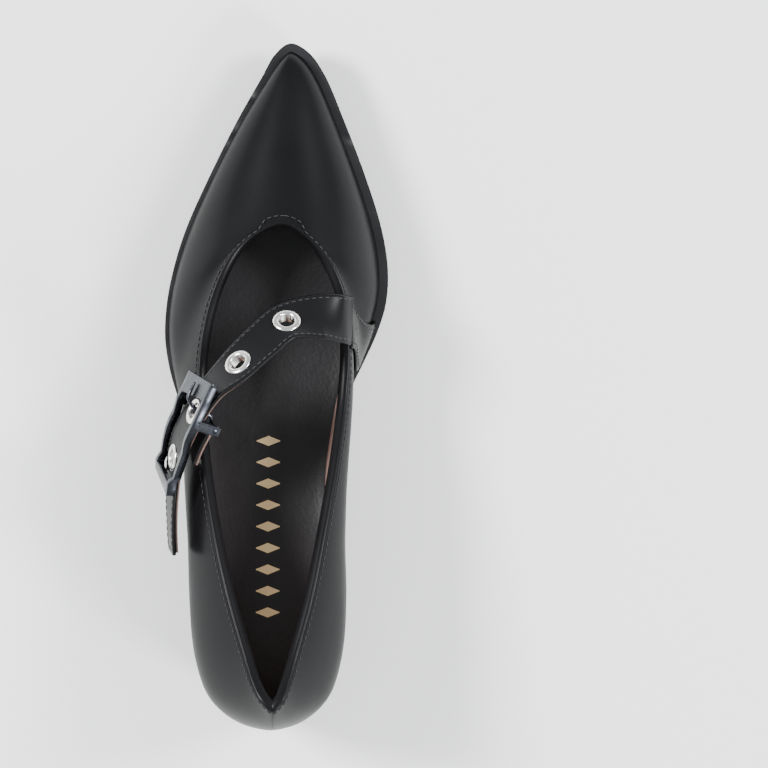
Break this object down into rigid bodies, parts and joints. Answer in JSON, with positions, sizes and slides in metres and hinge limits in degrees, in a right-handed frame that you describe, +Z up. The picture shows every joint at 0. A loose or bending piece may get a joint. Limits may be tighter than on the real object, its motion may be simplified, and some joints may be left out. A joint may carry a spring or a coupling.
{
  "type": "tap shoe",
  "caption": "Left pointed-toe leather strap shoe with a cleated sole, a stacked block heel, and an eyeleted instep strap closed by a metal buckle.",
  "frame": {"origin": "on the ground under the middle of the heel, at the centre of the heel's flat pad", "axes": "+Y towards the toe, +X towards the inner (medial) side of the left foot, +Z up"},
  "size_m": [0.0911, 0.269, 0.086],
  "materials": {
    "outsole_rubber": "matte moulded rubber",
    "welt_rubber": "satin black edge",
    "stacked_lift": "black-stained stacked lift, satin",
    "fastener_steel": "plain steel",
    "shank_steel": "spring steel strip",
    "cork": "ground cork",
    "fibre_board": "cellulose fibre board",
    "padding_foam": "soft foam",
    "sock_leather": "black grained leather",
    "upper_leather": "black smooth calf, semi-gloss",
    "vamp_lining_leather": "black lining leather",
    "quarter_lining_leather": "pink-beige lining leather",
    "strap_lining_leather": "taupe lining leather",
    "bright_nickel": "polished nickel",
    "dark_nickel": "polished gunmetal",
    "elastic": "ribbed black elastic"
  },
  "bodies": {
    "shoe": {"outsole": "outsole_rubber", "midsole_welt": "welt_rubber", "heel_top_piece": "outsole_rubber", "heel_lift_1": "stacked_lift", "heel_lift_2": "stacked_lift", "heel_lift_3": "stacked_lift", "heel_lift_4": "stacked_lift", "heel_lift_5": "stacked_lift", "heel_lift_6": "stacked_lift", "heel_lift_7": "stacked_lift", "heel_lift_8": "stacked_lift", "heel_lift_9": "stacked_lift", "heel_screw": "fastener_steel", "heel_nail_1": "fastener_steel", "heel_nail_2": "fastener_steel", "heel_nail_3": "fastener_steel", "heel_nail_4": "fastener_steel", "shank": "shank_steel", "forefoot_filler": "cork", "insole_board": "fibre_board", "sock_padding": "padding_foam", "sock_lining": "sock_leather", "vamp": "upper_leather", "quarter_medial": "upper_leather", "quarter_lateral": "upper_leather", "toe_puff": "fibre_board", "heel_counter": "fibre_board", "vamp_lining": "vamp_lining_leather", "quarter_lining_medial": "quarter_lining_leather", "quarter_lining_lateral": "quarter_lining_leather", "strap_base": "upper_leather", "strap_leather": "upper_leather", "strap_lining": "strap_lining_leather", "eyelet_1": "bright_nickel", "eyelet_washer_1": "bright_nickel", "eyelet_2": "bright_nickel", "eyelet_washer_2": "bright_nickel", "eyelet_3": "bright_nickel", "eyelet_washer_3": "bright_nickel", "eyelet_4": "bright_nickel", "eyelet_washer_4": "bright_nickel", "elastic_tab": "elastic", "tab_backing": "strap_lining_leather"},
    "buckle": {"buckle_frame": "dark_nickel", "buckle_bar": "dark_nickel"},
    "prong": {"buckle_prong": "dark_nickel"}
  },
  "joints": [
    {"name": "buckle_rock", "type": "hinge", "parent": "shoe", "child": "buckle", "pos_m": [-0.02282, 0.08159, 0.06439], "axis": [0.2809, -0.4328, 0.8566], "range_deg": [-2, 2]},
    {"name": "prong_swing", "type": "hinge", "parent": "buckle", "child": "prong", "pos_m": [-0.02282, 0.08159, 0.06439], "axis": [0.2809, -0.4328, 0.8566], "range_deg": [0, 21]}
  ]
}
